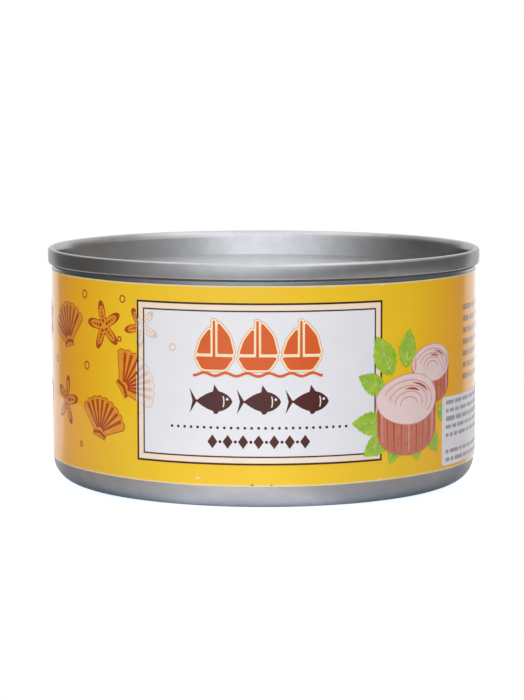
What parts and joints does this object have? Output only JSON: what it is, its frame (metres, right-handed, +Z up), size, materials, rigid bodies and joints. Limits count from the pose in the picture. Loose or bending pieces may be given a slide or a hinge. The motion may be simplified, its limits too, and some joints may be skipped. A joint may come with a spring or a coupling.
{
  "type": "tuna can",
  "caption": "Shut round food can with a seamed, recessed lid, a rounded base corner, a wrap-round paper label and a small side sticker.",
  "frame": {"origin": "centre of the can's base, on the surface it stands on", "axes": "+Z up along the can's axis; the label's framed panel faces -Y and +X is to the viewer's right"},
  "size_m": [0.0856, 0.0856, 0.046],
  "materials": {
    "tin_plate": "satin tin plate",
    "lid_steel": "satin lacquered steel",
    "yellow_paper": "varnished printed paper",
    "white_paper": "uncoated white paper"
  },
  "bodies": {
    "root": {"can_body": "tin_plate", "seamed_lid": "lid_steel", "paper_label": "yellow_paper", "side_sticker": "white_paper"}
  },
  "joints": []
}
